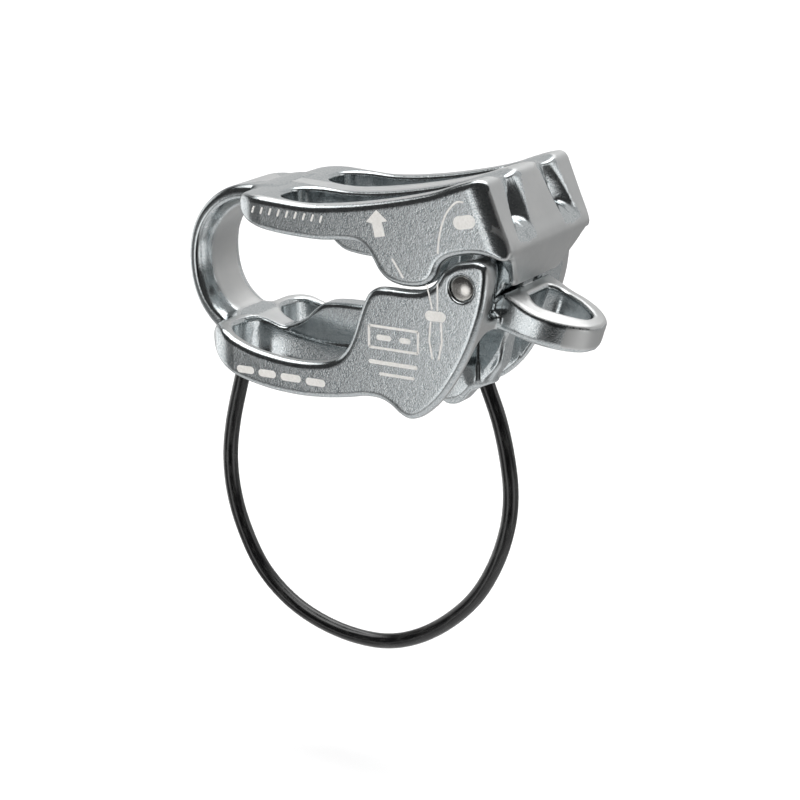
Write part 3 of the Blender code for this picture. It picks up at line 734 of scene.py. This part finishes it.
azimuth, elevation = math.radians(30.0), math.radians(16.5)
away = Vector((math.sin(azimuth) * math.cos(elevation), -math.cos(azimuth) * math.cos(elevation), math.sin(elevation)))
right = Vector((math.cos(azimuth), math.sin(azimuth), 0.0))
up = Vector((-math.sin(azimuth) * math.sin(elevation), math.cos(azimuth) * math.sin(elevation), math.cos(elevation)))
distance, focal = 0.483, 2630.0
aim = Vector((0.055, -0.0174, 0.003))
eye = aim - right * ((461 - 400) / focal * distance) - up * (-(289 - 400) / focal * distance) + away * distance
camera = bpy.data.objects.new("camera", bpy.data.cameras.new("camera"))
camera.data.sensor_width = 36.0
camera.data.lens = 36.0 * focal / 800.0
camera.data.clip_start = 0.01
camera.data.clip_end = 50.0
camera.matrix_world = Matrix.Translation(eye) @ Matrix(
    ((right.x, up.x, away.x, 0), (right.y, up.y, away.y, 0), (right.z, up.z, away.z, 0), (0, 0, 0, 1))
)
bpy.context.scene.collection.objects.link(camera)
bpy.context.scene.camera = camera

floor = mesh_object(
    "floor", [(s * 6.0, t * 6.0, -0.1) for s, t in ((-1, -1), (1, -1), (1, 1), (-1, 1))], [(0, 1, 2, 3)], smooth=False
)
pale, n, shader = new_material("pale_floor")
place = n.new("ShaderNodeTexCoord").outputs["Object"]
link(n, n.mix(n.noise(place, 2.0, 2.0), (0.93, 0.93, 0.93, 1), (0.95, 0.95, 0.95, 1)), shader, "Base Color")
shader.inputs["Roughness"].default_value = 0.9
shader.inputs["Specular IOR Level"].default_value = 0.1
floor.data.materials.append(pale)
floor.visible_glossy = False

# Studio surroundings: a broad overhead softbox, soft side panels and a dim front
world = bpy.data.worlds.new("studio")
world.use_nodes = True
bpy.context.scene.world = world
w = Nodes(world.node_tree)
background = world.node_tree.nodes["Background"]
direction = w.new("ShaderNodeTexCoord").outputs["Generated"]


def toward(az, el):
    """Unit direction: azimuth from the front (-Y) towards +X, elevation upwards, in degrees."""
    a, e = math.radians(az), math.radians(el)
    return (math.sin(a) * math.cos(e), -math.cos(a) * math.cos(e), math.sin(e))


def panel(az, el, inner, outer, level):
    """A soft round light: full within inner degrees of its centre, gone at outer."""
    dot = w.new("ShaderNodeVectorMath", {0: direction, 1: toward(az, el)}, operation="DOT_PRODUCT").outputs["Value"]
    return w.remap(dot, math.cos(math.radians(outer)), math.cos(math.radians(inner)), 0.0, level)


height = w.new("ShaderNodeSeparateXYZ", {0: direction}).outputs[2]
flat = w.new("ShaderNodeSeparateXYZ", {0: direction})
turn = w.math("ARCTAN2", flat.outputs[0], w.math("MULTIPLY", flat.outputs[1], -1.0))  # radians from the front

# Backdrop round the horizon: dim in front, bright behind
behind = w.remap(w.math("ABSOLUTE", turn), math.radians(92), math.radians(146), 0.05, 0.63)
# Table: a bright pool below, dimmer towards the front
pool = w.remap(height, -0.85, -0.3, 0.8, 0.0)
table = w.remap(w.math("ABSOLUTE", turn), math.radians(60), math.radians(120), 0.19, 0.40)
below = w.remap(height, -0.06, -0.14, 0.0, 1.0)
level = w.new("ShaderNodeMix", {0: below, 2: behind, 3: table}).outputs[0]
level = w.math("MAXIMUM", level, pool)
overhead = w.remap(height, 0.68, 0.86, 0.0, 2.1)
level = w.math("ADD", level, overhead)
for lamp in (
    panel(-95, -4, 18, 34, 0.9),
    panel(-17, -17, 8, 15.0, 1.2),
    panel(113, 17, 5, 13, 1.1),
    panel(78, -18, 10, 20, 1.0),
):
    level = w.math("ADD", level, lamp)
shade = w.math("MULTIPLY", panel(27, -14, 12, 24, 0.9), -1.0)
level = w.math("MULTIPLY", level, w.math("ADD", 1.0, shade))
link(w, w.new("ShaderNodeCombineColor", {0: level, 1: level, 2: level}).outputs[0], background, "Color")
background.inputs["Strength"].default_value = 1.0


def softbox(name, place, size, power):
    lamp = bpy.data.lights.new(name, "AREA")
    lamp.shape = "RECTANGLE"
    lamp.size, lamp.size_y = size
    lamp.energy = power
    obj = bpy.data.objects.new(name, lamp)
    obj.matrix_world = Matrix.Translation(place) @ (Vector((0.03, 0, 0)) - Vector(place)).to_track_quat("-Z", "Y").to_matrix().to_4x4()
    bpy.context.scene.collection.objects.link(obj)
    return obj


softbox("key_softbox", (-0.15, 0.1, 1.1), (1.7, 1.4), 6.0)

bpy.context.scene.view_settings.view_transform = "Standard"
